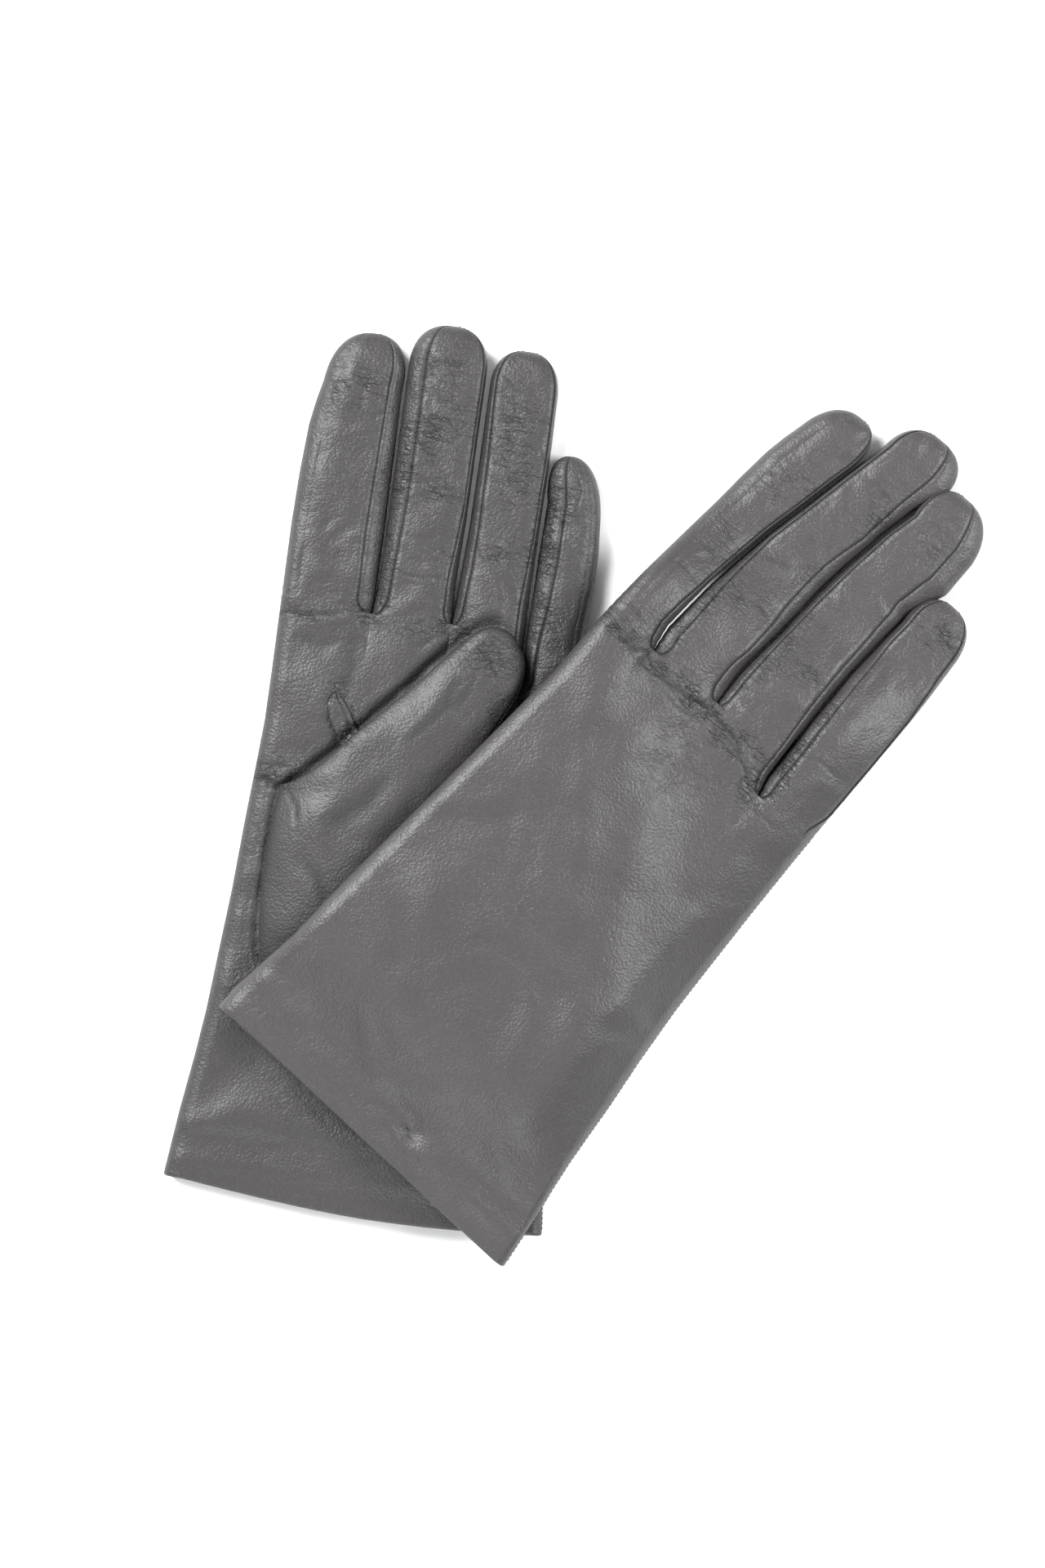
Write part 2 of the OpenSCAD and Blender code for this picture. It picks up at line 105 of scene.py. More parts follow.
# ---------------------------------------------------------------------------
# Hand leather. Palm, back and cuff of each glove are one piece of fine-grain
# nappa, wrapped round the hand and closed along the little-finger edge. The cuff
# is turned in, and the four finger roots leave it at the crotches.
# ---------------------------------------------------------------------------
record = frame["record"]
mounts = {mount["name"]: mount for mount in record["mounts"]}
joints = {joint["name"]: joint for joint in record["behaviour"]["joints"]}
sides = ("left", "right")
fingers = ("index", "middle", "ring", "little")

# How each glove lies, in millimetres: u runs across the hand, v towards the fingertips, w up
cuff_middle = {s: 1000 * np.array(mounts[s + "_cuff"]["pos_m"][:2]) for s in sides}
across_hand = {s: np.array(joints[s + "_index_fold"]["axis"][:2]) for s in sides}
hand_rise = 9.6
thumb_rise = 9.4
fall_length = 45.0
cuff_half_width = 57.5


def eased(t):
    t = np.clip(t, 0.0, 1.0)
    return t * t * (3.0 - 2.0 * t)


def drape(x, y, u, v):
    """Height of the right glove's underside: over the left hand, over the thumbs, down to the table."""
    beside = cuff_middle["left"][0] + cuff_half_width + 0.069 * (y - cuff_middle["left"][1]) + 2
    over_thumbs = (
        eased((v - 8) / 38) * (1 - eased((v - 181) / 35)) * (1 - eased((u - 31) / 25))
    )
    return hand_rise * (1 - eased((x - beside) / fall_length)) + thumb_rise * over_thumbs


def laid(side, u, v, w):
    """Points of one glove in the common frame, in metres."""
    c, s = across_hand[side]
    x = cuff_middle[side][0] + u * c - v * s
    y = cuff_middle[side][1] + u * s + v * c
    lift = drape(x, y, u, v) if side == "right" else 0.0
    return np.stack(np.broadcast_arrays(x, y, w + lift), axis=-1) * 0.001


# Outlines, as [distance from the cuff, place across]
hand_edges = {
    "left": (
        ((0, -57.8), (20, -55.7), (37.5, -53.4), (51.4, -51.9), (70, -50.6), (88, -49.3),
         (110, -48.3), (125, -47.4), (140, -46.6), (155, -46.6), (200, -46.9), (215, -46.6),
         (230, -45.8), (238, -44.5), (244, -43.2)),
        ((0, 57.8), (20, 55.3), (37.5, 53.2), (51.4, 51.9), (70, 50.4), (88, 49.2),
         (110, 48.2), (125, 47.4), (140, 46.6), (155, 45.7), (167, 45.3), (179, 45.3),
         (186, 45.9), (193, 46.3), (203, 46.2), (213, 45.4), (217, 44.9)),
    ),
    "right": (
        ((0, -57.0), (7.6, -57.0), (20.3, -55.2), (33.2, -53.4), (48, -52.6), (61.7, -51.5),
         (89.2, -49), (116.5, -46.6), (143.7, -44.4), (162.6, -44.3), (172.9, -43.8),
         (183, -43.1), (193.5, -42.1), (204, -41.1), (214.7, -40), (225, -39.2), (236, -38.0),
         (242, -36.8), (248, -35.2)),
        ((0, 58.4), (18.5, 56.0), (26.5, 54.7), (35.3, 53.5), (44.4, 52.7), (53.5, 52.0),
         (71.1, 50.2), (89, 48.9), (107.6, 48.3), (126.1, 47.7), (144.7, 47.3),
         (163.5, 47.2), (201.9, 47.4), (212, 47.1), (223, 46.5)),
    ),
}
# Crotches, from the forefinger to the little finger: (distance from the cuff, place across)
crotches = {
    "left": ((176, -19.0), (176.2, 5.3), (159, 28.2)),
    "right": ((166.8, -25.8), (167.2, -0.9), (154, 26.2)),
}
# Facing edges of two neighbours: the nearer finger's outer side, then the next one's inner side
gaps = {
    "left": (
        (((176, -19.0), (183, -18.8), (200, -18.7), (244, -19.3)),
         ((176, -19.0), (183, -18.3), (200, -18.1), (252, -18.4))),
        (((176.2, 5.3), (187, 4.7), (207, 5.3), (250, 5.2)),
         ((176.2, 5.3), (190, 5.8), (205, 6.5), (225, 6.7), (248, 6.7))),
        (((159, 28.2), (175, 27.5), (185, 27.4), (230, 27.7), (248, 27.4)),
         ((159, 28.2), (175, 28.2), (200, 28.4), (217, 28.8))),
    ),
    "right": (
        (((166.8, -25.8), (175.2, -27.2), (183.4, -26.7), (193.8, -25.9), (203.7, -24.5),
          (216.7, -22.4), (228.8, -19.6), (241, -17.0), (248, -15.3)),
         ((166.8, -25.8), (175.2, -26.8), (183.4, -26.2), (193.8, -25.3), (203.7, -23.8),
          (216.7, -21.6), (228.8, -18.8), (241, -16.2), (250, -14.2), (260, -11.9))),
        (((167.2, -0.9), (178.6, -2.0), (184, -1.8), (197, -0.1), (212, 0.8), (225, 2.4),
          (238, 4.5), (250, 7.2), (256, 10.0), (260, 11.8)),
         ((167.2, -0.9), (178.6, -1.4), (184, -1.2), (197, 0.5), (212, 1.4), (225, 3.0),
          (240, 5.6), (249, 7.9))),
        (((154, 26.2), (160, 24.6), (168, 24.1), (180, 23.6), (188, 23.4), (199.4, 23.7),
          (210, 24.5), (218.6, 25.4), (225.6, 26.2), (231, 28.6), (237, 31.2), (249, 31.3)),
         ((154, 26.2), (160, 25.0), (180, 24.1), (200, 24.3), (212, 25.2), (223, 26.1))),
    ),
}
# Inset of the upper seams from the outline on the inner and outer side of each finger
seam_insets = {
    "left": (
        (None, ((176, 4.6), (200, 5.2), (226, 4.4), (244, 3.7))),
        (((176, 3.4), (200, 4.3), (212, 5.0), (250, 5.2)), ((176, 2.6), (192, 2.1), (212, 1.0), (252, 0.8))),
        (((176, 2.4), (193, 3.0), (225, 2.5), (246, 1.8)), ((159, 2.4), (185, 2.4), (205, 1.3), (246, 0.8))),
        (((159, 3.4), (174, 3.9), (186, 5.1), (199, 5.8), (217, 5.6)), None),
    ),
    "right": (
        (None, ((167, 2.4), (183, 2.0), (192, 1.3), (234, 0.9))),
        (((167, 4.2), (181, 4.2), (193, 3.3), (203, 2.4), (215, 1.5), (250, 1.3)),
         ((167, 3.8), (177, 3.2), (185, 2.2), (193, 2.9), (203, 3.9), (220, 4.2), (234, 2.7),
          (250, 4.0), (260, 6.6))),
        (((167, 2.4), (184, 2.4), (195, 1.5), (216, 1.6), (240, 0.9)),
         ((154, 2.4), (170, 1.9), (189, 2.5), (209, 3.0), (222, 4.0), (236, 7.0), (249, 6.8))),
        (((154, 2.8), (173, 3.6), (203, 3.0), (216, 1.9)), ((154, 0.6), (200, 0.6), (216, 1.5))),
    ),
}
# Where each fingertip starts to round, and its end: (start, end, place across at the end)
fingertips = {
    "left": ((244, 260, -29.5), (252, 265.4, -6.6), (248, 260.9, 16.6), (217, 231.5, 34.2)),
    "right": ((248, 261.5, -22.6), (260, 271.9, 0.6), (249, 263.2, 17.8), (223, 235.7, 35.2)),
}
crown = 4.9
sole = 4.5
waist = 4.6
roll = 5.0

# Creases pressed into the leather, with shade painted into their bottoms: points, half width and depth
hand_creases = {
    "left": (
        (((-46.6, 123.2), (-42, 121.2), (-39, 121.4), (-32.3, 124.2)), 0.9, 0.9),
        (((-46.9, 127.5), (-43, 126.2), (-38, 127.5)), 0.8, 0.4),
        (((-46.8, 172.0), (-41.9, 173.4), (-35, 173.2), (-27.3, 174.6)), 0.6, 0.45),
        (((-39, 166), (-33, 164), (-28, 165.5)), 1.6, 0.25),
        (((-5, 168), (2, 171.5), (5, 175)), 0.8, 0.3),
        (((-24, 152), (-22, 158), (-23, 165)), 2.2, 0.3),
        (((-22.4, 134.8), (-25.6, 139.6), (-27.6, 143), (-28.6, 147.2), (-26.8, 151.2), (-25.4, 151.4)),
         0.5, 0.8),
        (((-25.4, 151.4), (-23.2, 150.3), (-21, 146.6), (-18.4, 142.4), (-16.4, 139)), 0.5, 0.8),
        (((-39.4, 122), (-40.4, 115.3), (-40.7, 99), (-40.7, 87), (-40.6, 79.5), (-39.4, 72.3),
          (-37.4, 66.5)), 0.7, 0.7),
        # Along the thumb's upper edge: a shallow groove with the thumb's shadow on the palm painted dark in
        # it
        (((-38, 122), (-33.2, 125), (-27.2, 130.6), (-18, 142.0), (-5, 155.8), (3.2, 166), (9.6, 173.2),
          (14, 177), (18.6, 178.2)), 1.3, 1.0),
        (((-20, 175), (-21.5, 172.5), (-21, 170)), 0.5, 0.4),
        (((-18, 175), (-16, 172.5), (-15, 171)), 0.5, 0.4),
        (((5, 175), (3.5, 172.5), (3, 171)), 0.5, 0.4), (((6.4, 175), (8.5, 173.5), (10, 173)), 0.5, 0.35),
    ),
    "right": (
        (((-44.5, 166.4), (-40, 165.2), (-36, 163.4), (-31, 163.0), (-27, 164.2)), 0.55, 0.5),
        (((-27, 164.2), (-22, 162.9), (-16, 162.0), (-10, 162.5), (-4, 164.3), (-1, 165)), 0.6, 0.62),
        (((-27, 162.2), (-20, 160.9), (-12, 160.6), (-4, 162.2)), 0.45, 0.34),
        (((-1, 165), (4, 163.6), (10, 162.7), (15, 160.2)), 0.5, 0.5),
        (((4, 161.8), (12, 160.4), (18, 157.4), (22, 154), (25, 152.5)), 0.5, 0.42),
        (((-14, 158), (-8, 159), (-3, 158.2)), 0.5, 0.22),
        (((27, 151), (31, 149.5), (36, 150)), 0.5, 0.25),
        (((10.2, 8), (11, 10.3), (12, 12.6)), 0.5, 0.5),
        (((8, 10.8), (11, 10.3), (14, 9.6)), 0.5, 0.5),
    ),
}
# Broad soft swells and hollows: (u, v, radius across, radius along, height)
hand_swells = {
    "left": (
        (-30, 20, 22, 7, 0.9), (0, 14, 16, 6, 0.7), (22, 16, 14, 6, 0.6), (-10, 26, 14, 8, -0.6),
        (-44, 60, 6, 30, 0.5), (-20, 158, 9, 22, 0.7), (-33, 150, 8, 20, 0.5), (-8, 150, 6, 20, 0.6),
        (8, 158, 5, 16, 0.5), (-38, 30, 10, 12, -0.5),
    ),
    "right": (
        (-42, 13, 13, 6, 1.1), (-26, 11, 9, 5, 0.9), (-12, 14, 9, 5, 1.0), (2, 8, 7, 4, 0.6),
        (20, 9, 9, 4, 0.7), (36, 7, 10, 4, 0.6), (11, 10.3, 3.4, 3.4, -1.5), (-34, 22, 10, 8, -0.7),
        (-15, 24, 12, 8, -0.6), (-30, 130, 8, 30, 0.6), (-12, 136, 6, 26, 0.7), (8, 134, 7, 26, 0.6),
        (28, 126, 8, 30, 0.6), (-20, 148, 5, 14, -0.6), (0, 148, 5, 14, -0.6), (30, 60, 12, 30, 0.8),
        (-30, 60, 14, 24, 0.5), (10, 80, 16, 30, -0.5),
    ),
}

# Places where the leather is finely crumpled: (u, v, radius across, radius along, strength)
crumpled = {
    "left": (
        (-33, 243, 9, 7, 1.0), (-30, 216, 8, 16, 0.3), (-16.5, 205, 3, 26, 0.9), (-7, 233, 9, 16, 1.0),
        (-9, 214, 8, 5, 0.8),
        (-8, 254, 8, 6, 0.4), (0, 196, 5, 10, 0.4), (16, 236, 8, 14, 0.9), (17, 200, 9, 6, 0.7),
        (20, 218, 7, 8, 0.6),
        (30, 205, 4, 18, 1.2), (36, 215, 5, 12, 0.6), (34, 180, 8, 12, 0.6), (-20, 177, 5, 4, 1.3),
        (5.3, 177, 5, 4, 1.3),
        (-38, 174, 8, 3, 0.9), (-4, 173, 8, 4, 0.7), (-40, 125, 8, 5, 1.1), (-24, 152, 5, 5, 0.9),
        (18, 168, 7, 7, 1.1),
        (-20, 139, 5, 6, 0.6), (-45, 100, 6, 22, 0.5), (-36, 62, 10, 8, 0.4), (-20, 30, 14, 9, 0.3),
        (24, 150, 10, 10, 0.5),
    ),
    "right": (
        (-26, 164, 16, 3.2, 1.3), (-8, 163, 10, 3.6, 1.2), (12, 162, 10, 5, 1.2), (24, 154, 5, 5, 1.1),
        (-40, 166, 6, 4, 0.9),
        (-34, 172, 8, 5, 0.6), (-26, 232, 10, 9, 0.7), (-32, 205, 8, 10, 0.6), (-14, 196, 7, 6, 0.7),
        (0, 240, 8, 10, 0.7),
        (-6, 214, 8, 8, 0.5), (12, 191, 9, 5, 0.8), (19, 246, 6, 8, 0.6), (36, 226, 8, 6, 0.9),
        (30, 162, 6, 6, 0.5),
        (6, 150, 22, 12, 0.35), (-22, 186, 4, 16, 0.8), (3, 188, 4, 18, 0.8), (26, 178, 3, 16, 0.8),
        (-12, 90, 26, 30, 0.22),
    ),
}


def along_table(table, v):
    return np.interp(v, [row[0] for row in table], [row[1] for row in table])


def waves(u, v, seed, length, height, swirl=0.0):
    """Smooth unevenness of soft leather, the same on every run. Swirl bends the waves into each other."""
    rng = np.random.default_rng(seed)
    if swirl:
        u, v = (
            u + waves(u, v, seed + 100, 2.2 * length, swirl * length),
            v + waves(u, v, seed + 200, 2.2 * length, swirl * length),
        )
    total = 0.0
    for _ in range(7):
        turn, phase, stretch = rng.uniform(0, 6.283, 3)
        pace = 6.283 / (length * (0.7 + 0.1 * stretch))
        total = total + np.sin((u * math.cos(turn) + v * math.sin(turn)) * pace + phase)
    return total * height / 2.6


def pressed(u, v, creases):
    """Depth of the creases at each point, and the shade painted into their bottoms."""
    depth, shade = np.zeros_like(u), np.zeros_like(u)
    wander = waves(u, v, 5, 9.0, 0.5)
    for points, half_width, deep in creases:
        near = np.full_like(u, 1e9)
        for (au, av), (bu, bv) in zip(points, points[1:]):
            du, dv = bu - au, bv - av
            t = np.clip(((u - au) * du + (v - av) * dv) / (du * du + dv * dv), 0, 1)
            near = np.minimum(near, np.hypot(u - au - t * du, v - av + wander - t * dv))
        ends = np.hypot(u - points[0][0], v - points[0][1]), np.hypot(u - points[-1][0], v - points[-1][1])
        fade = eased((np.minimum(*ends) + 1.0) / 3.0)
        groove = np.exp(-((near / half_width) ** 2)) * fade
        lip = np.exp(-(((near - 2.4 * half_width) / half_width) ** 2)) * fade
        depth = depth - deep * groove + 0.2 * deep * lip
        shade = np.maximum(shade, groove * min(1.0, deep * 1.7))
    return depth, shade


def bumps(u, v, swells):
    total = np.zeros_like(u)
    for cu, cv, ru, rv, high in swells:
        total = total + high * np.exp(-(((u - cu) / ru) ** 2) - (((v - cv) / rv) ** 2))
    return total


# Dyed nappa: a fine pebbled grain, a soft low sheen, and painted shade that darkens seams, creases, folds and
# wrinkles towards near-black
class Dye:
    """A shader socket that works in a Python expression."""

    def __init__(self, tree, socket=None):
        self.tree, self.socket = tree, socket

    def node(self, kind, settings=(), sockets=(), output=0):
        made = self.tree.nodes.new(kind)
        for name, value in dict(settings).items():
            setattr(made, name, value)
        for name, value in dict(sockets).items():
            if isinstance(value, Dye):
                self.tree.links.new(value.socket, made.inputs[name])
            else:
                made.inputs[name].default_value = value
        return Dye(self.tree, made.outputs[output])

    def maths(self, operation, a, b=0.0):
        return self.node("ShaderNodeMath", {"operation": operation}, {0: a, 1: b})

    def __add__(self, other):
        return self.maths("ADD", self, other)

    def __sub__(self, other):
        return self.maths("SUBTRACT", self, other)

    def __rsub__(self, other):
        return self.maths("SUBTRACT", other, self)

    def __mul__(self, other):
        return self.maths("MULTIPLY", self, other)

    __radd__, __rmul__ = __add__, __mul__


def leather_finish(name, pale, dark, roughness):
    material = bpy.data.materials.new(name)
    material.use_nodes = True
    tree = material.node_tree
    shader = tree.nodes["Principled BSDF"]
    dye = Dye(tree)
    place = dye.node("ShaderNodeTexCoord", output="Object")
    crease = dye.node("ShaderNodeAttribute", {"attribute_name": "crease"}, output="Fac")
    cloud = dye.node("ShaderNodeTexNoise", {}, {"Vector": place, "Scale": 38.0, "Detail": 3.0}, "Fac")
    mottle = dye.node("ShaderNodeTexNoise", {}, {"Vector": place, "Scale": 260.0, "Detail": 4.0}, "Fac")
    drift = dye.node("ShaderNodeTexNoise", {}, {"Vector": place, "Scale": 500.0, "Detail": 1.0}, "Color")
    bent = dye.node("ShaderNodeMix", {"data_type": "VECTOR"}, {0: 0.0006, 4: place, 5: drift}, 1)
    pebble = dye.node(
        "ShaderNodeTexVoronoi", {"feature": "SMOOTH_F1"},
        {"Vector": bent, "Scale": 1250.0, "Smoothness": 0.35}, "Distance",
    )
    pore = dye.node("ShaderNodeTexNoise", {}, {"Vector": bent, "Scale": 2600.0, "Detail": 2.0}, "Fac")
    # Fine wrinkles, mostly across the hand, where the leather is crumpled
    lie = dye.node("ShaderNodeAttribute", {"attribute_name": "lie"}, output="Vector")
    amount = dye.node("ShaderNodeSeparateXYZ", {}, {0: lie}, "Z")
    stray = dye.node("ShaderNodeTexNoise", {}, {"Vector": lie, "Scale": 0.35, "Detail": 3.0}, "Color")
    wrinkle = 0.0
    for across, along, width, height in ((0.16, 0.42, 0.055, 0.8), (0.42, 0.95, 0.09, 0.4)):
        stretch = (across, along, 0.0)
        spread = dye.node("ShaderNodeVectorMath", {"operation": "MULTIPLY"}, {0: lie, 1: stretch})
        wander = dye.node("ShaderNodeMix", {"data_type": "VECTOR"}, {0: 0.55, 4: spread, 5: stray}, 1)
        edge = dye.node(
            "ShaderNodeTexVoronoi", {"feature": "DISTANCE_TO_EDGE"},
            {"Vector": wander, "Scale": 2.2}, "Distance",
        )
        line = dye.node(
            "ShaderNodeMapRange", {"interpolation_type": "SMOOTHSTEP"},
            {0: edge, 1: 0.0, 2: width * 1.6, 3: 1.0, 4: 0.0},
        )
        wrinkle = wrinkle + line * height
    patchy = dye.node("ShaderNodeTexNoise", {}, {"Vector": lie, "Scale": 0.16, "Detail": 2.0}, "Fac")
    patch = dye.node("ShaderNodeMapRange", {}, {0: patchy, 1: 0.36, 2: 0.56})
    wrinkle = wrinkle * amount * patch
    depth = cloud * 0.5 + mottle * 0.5
    # Painted shade: the shade attribute from the mesh and the wrinkle lines mix the colour towards
    # near-black, where seams, creases, folds and wrinkles lie in shade
    shadow = crease * 0.92 + wrinkle * 0.6
    grain_dark = pebble * 0.22
    painted_shade_black = (0.004, 0.004, 0.004, 1)
    share = depth + grain_dark - 0.1
    mix = dye.node("ShaderNodeMix", {"data_type": "RGBA"}, {0: share, 6: (*pale, 1), 7: (*dark, 1)}, 2)
    final = dye.node("ShaderNodeMix", {"data_type": "RGBA"}, {0: shadow, 6: mix, 7: painted_shade_black}, 2)
    tree.links.new(final.socket, shader.inputs["Base Color"])
    tree.links.new((roughness + mottle * 0.12 + crease * 0.2).socket, shader.inputs["Roughness"])
    relief = pebble * -1.0 + pore * 0.35 + mottle * 0.8 - wrinkle * 3.2
    bump = dye.node("ShaderNodeBump", {}, {"Strength": 0.75, "Distance": 0.00018, "Height": relief}, "Normal")
    tree.links.new(bump.socket, shader.inputs["Normal"])
    shader.inputs["Specular IOR Level"].default_value = 0.5
    return material


# The left glove is a shade darker than the right one
nappa = {
    "left": leather_finish("charcoal_nappa_left", (0.0350, 0.0325, 0.0331), (0.0205, 0.0190, 0.0194), 0.42),
    "right": leather_finish("charcoal_nappa_right", (0.0455, 0.0425, 0.0431), (0.0265, 0.0246, 0.0250), 0.41),
}


def sewn(name, points, shade, parts, finish):
    """A sheet with one row of points for each step along the glove, closed round the hand."""
    rows, columns = points.shape[0] - 1, points.shape[1] - 1
    shade = np.broadcast_to(shade, points.shape[:2])
    sheet = bmesh.new()
    bmesh.ops.create_grid(sheet, x_segments=columns, y_segments=rows, size=0.5)
    mesh = bpy.data.meshes.new(name)
    sheet.to_mesh(mesh)
    flat = np.empty(len(mesh.vertices) * 3)
    mesh.vertices.foreach_get("co", flat)
    flat = flat.reshape(-1, 3)
    column = np.rint((flat[:, 0] + 0.5) * columns).astype(int)
    row = np.rint((flat[:, 1] + 0.5) * rows).astype(int)
    mesh.vertices.foreach_set("co", points[row, column].ravel())
    # Painted shade for seams, creases and folds, stored on the points for the leather's colour
    mesh.attributes.new("crease", "FLOAT", "POINT").data.foreach_set(
        "value", shade[row, column].ravel().astype(np.float32)
    )
    side = name.split("_")[0]
    c, s = across_hand[side]
    x, y = 1000 * points[..., 0] - cuff_middle[side][0], 1000 * points[..., 1] - cuff_middle[side][1]
    u, v = x * c + y * s, y * c - x * s
    lie = np.stack([u, v, np.minimum(bumps(u, v, crumpled[side]), 1.3)], axis=-1)
    mesh.attributes.new("lie", "FLOAT_VECTOR", "POINT").data.foreach_set(
        "vector", lie[row, column].ravel().astype(np.float32)
    )
    sheet.clear()
    sheet.from_mesh(mesh)
    bmesh.ops.remove_doubles(sheet, verts=sheet.verts, dist=0.00002)
    bmesh.ops.recalc_face_normals(sheet, faces=sheet.faces)
    for face in sheet.faces:
        face.smooth = True
    sheet.to_mesh(mesh)
    sheet.free()
    piece = bpy.data.objects.new(name, mesh)
    bpy.context.collection.objects.link(piece)
    mesh.materials.append(finish)
    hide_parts(*parts)
    return piece


def clustered(count):
    """Steps from 0 to 1, closer together near both ends, where the seams are."""
    t = np.linspace(0, 1, count + 1)[:-1]
    return t - 0.11 * np.sin(6.2832 * t)


def round_section(q, low, high, inset_low, inset_high, top, base, drop_low, drop_high, d=0.0):
    """Across and up for a closed section.

    q runs 0-1 up the outer side, 1-2 over the upper face, 2-3 down the inner side, 3-4 below.
    """
    low, high = low + d, high - d
    top, base = top - d, base - d
    leg = np.minimum(q.astype(int), 3)
    t = q - leg
    x = 2 * t - 1
    upper_u = high - inset_high + (low + inset_low - high + inset_high) * t
    upper_w = top * (1 - np.where(x < 0, drop_high, drop_low) * np.abs(x) ** 3.5)
    turn = (t - 0.5) * math.pi
    under = 1.2
    outer_inset = np.where(t > 0.5, inset_high, under)
    inner_inset = np.where(t < 0.5, inset_low, under)
    outer_w = np.where(t > 0.5, top * (1 - drop_high), base * 0.9) * np.sin(turn)
    inner_w = np.where(t < 0.5, top * (1 - drop_low), base * 0.9) * np.sin(-turn)
    outer_u = high - outer_inset * (1 - np.cos(turn) ** 1.15)
    inner_u = low + inner_inset * (1 - np.cos(turn) ** 1.15)
    lower_u = low + under + (high - low - 2 * under) * t
    lower_w = -base * (1 - 0.1 * np.abs(x) ** 4)
    u = np.select([leg == 0, leg == 1, leg == 2], [outer_u, upper_u, inner_u], lower_u)
    w = np.select([leg == 0, leg == 1, leg == 2], [outer_w, upper_w, inner_w], lower_w)
    return u, w


def crotch_row(side, f, q):
    """Distance from the cuff at which finger f starts, round its section."""
    inner = crotches[side][max(f - 1, 0)][0]
    outer = crotches[side][min(f, 2)][0]
    t = q - np.minimum(q.astype(int), 3)
    leg = np.minimum(q.astype(int), 3)
    share = np.select([leg == 0, leg == 1, leg == 2], [0 * t, eased(t), 1 + 0 * t], eased(1 - t))
    return outer + (inner - outer) * share


top_steps, side_steps, sole_steps = 30, 14, 20
crotch_drop = 0.34
hem_turn = 0.9
hem_depth = 16.0


def finger_drop(side, f, t):
    x = 2 * t - 1
    outer = crotch_drop if f < 3 else 0.08
    inner = crotch_drop if f > 0 else 0.08
    return np.where(x < 0, outer, inner) * np.abs(x) ** 3.5


def hand_sheet(side, reach, d):
    """The hand, for rows at these shares of the way to the crotches, offset inwards by d."""
    low_edge, high_edge = hand_edges[side]
    t4 = clustered(top_steps)
    starts, shares, drops = [], [], []
    first = along_table(low_edge, crotches[side][0][0]) + roll
    last = along_table(high_edge, crotches[side][2][0]) - 0.6 * roll
    for f in (3, 2, 1, 0):
        right = last if f == 3 else crotches[side][f][1]
        left = first if f == 0 else crotches[side][f - 1][1]
        across = right + (left - right) * t4
        shares.append((last - across) / (last - first))
        drops.append(finger_drop(side, f, t4))
        starts.append(crotch_row(side, f, 1 + t4))
    share, drop, start = map(np.concatenate, (shares, drops, starts))
    outer_t, inner_t = clustered(side_steps), clustered(side_steps)
    sole_t = np.linspace(0, 1, 4 * sole_steps + 1)[:-1]
    q = np.concatenate([outer_t, 1 + share, 2 + inner_t, 3 + sole_t])
    drop = np.concatenate([0 * outer_t, drop, 0 * inner_t, 0 * sole_t])
    sole_start = np.interp(sole_t, 1 - share[::-1], start[::-1])
    start = np.concatenate([start[:1] + 0 * outer_t, start, start[-1:] + 0 * inner_t, sole_start])
    q, drop, start = (np.append(a, a[0])[None, :] for a in (q, drop, start))
    v0 = reach * start
    low, high = along_table(low_edge, v0), along_table(high_edge, v0)
    near = eased((reach - 0.90) / 0.10)
    bow_share = (q - 1.0) * ((q >= 1) & (q <= 2)) + (4.0 - q) * (q > 3) + 1.0 * ((q > 2) & (q <= 3))
    left_bow = -4.6 * np.sin(np.clip(1 - bow_share, 0, 1) * 2.6)
    bow = left_bow if side == "left" else 2.2 - 5.2 * (1 - bow_share)
    v = v0 + bow * (1 - eased(v0 / 60))
    top = waist + (crown - waist) * near
    slim = 1 - 0.16 * (1 - eased(v0 / 26))
    u, w = round_section(q, low, high, roll, 0.6 * roll, top * slim, sole * slim, 0.08, 0.08, d)
    x = 2 * np.clip(q - 1, 0, 1) - 1
    on_top = (q > 1) & (q < 2)
    flat_drop = 0.08 * np.abs(x) ** 3.5
    w = np.where(on_top, (top * slim - d) * (1 - near * drop - (1 - near) * flat_drop), w)
    return q, u, v, w


def placed_hand(side, reach, d):
    q, u, v, w = hand_sheet(side, reach, d)
    q = np.broadcast_to(q, u.shape)
    facing = w / np.maximum(np.abs(w), 1e-6) * eased(np.abs(w) / 3.0)
    ease_in = 1 - eased((reach - 0.985) / 0.015)
    press, shade = pressed(u, v, hand_creases[side])
    outside = (d <= 0).astype(float)
    seen = (w > 1.0) * outside
    unevenness = waves(u, v, 11, 46, 0.42, 0.3) + waves(u, v, 12, 22, 0.22, 0.35) + waves(u, v, 13, 7, 0.03)
    unevenness = unevenness * (0.4 + 0.6 * eased(v / 20)) * ease_in
    w = w + np.where(w > 0, unevenness, 0.3 * unevenness) * np.abs(facing)
    w = w + (press + bumps(u, v, hand_swells[side])) * eased(w / 2.0) * (d < 1.8)
    hem = (0.5 * np.exp(-(((v - 6.5) / 3.2) ** 2)) - 0.35 * np.exp(-(((v - 14.5) / 2.6) ** 2))) * outside
    w = w + hem * facing
    w = np.maximum(w + sole, 0.0)
    return laid(side, u, v, w), np.where(seen, shade, 0.0), (u, v, w)


hand_skin = {}
mean_reach = 170.0
for side in sides:
    outside_rows = np.linspace(1, 0, 240)[:-1]
    turn = np.linspace(0, math.pi, 9)
    reach = np.concatenate(
        [outside_rows[:-1], (hem_turn - hem_turn * np.sin(turn)) / mean_reach,
         np.linspace(2.0, hem_depth, 14) / mean_reach]
    )[:, None]
    inset = np.concatenate(
        [0 * outside_rows[:-1], hem_turn - hem_turn * np.cos(turn), 2 * hem_turn + np.zeros(14)]
    )[:, None]
    points, shade, hand_skin[side] = placed_hand(side, reach, inset)
    piece = sewn(side + "_hand", points, shade, [side + "_hand_leather"], nappa[side])
    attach(piece, side + "_palm")

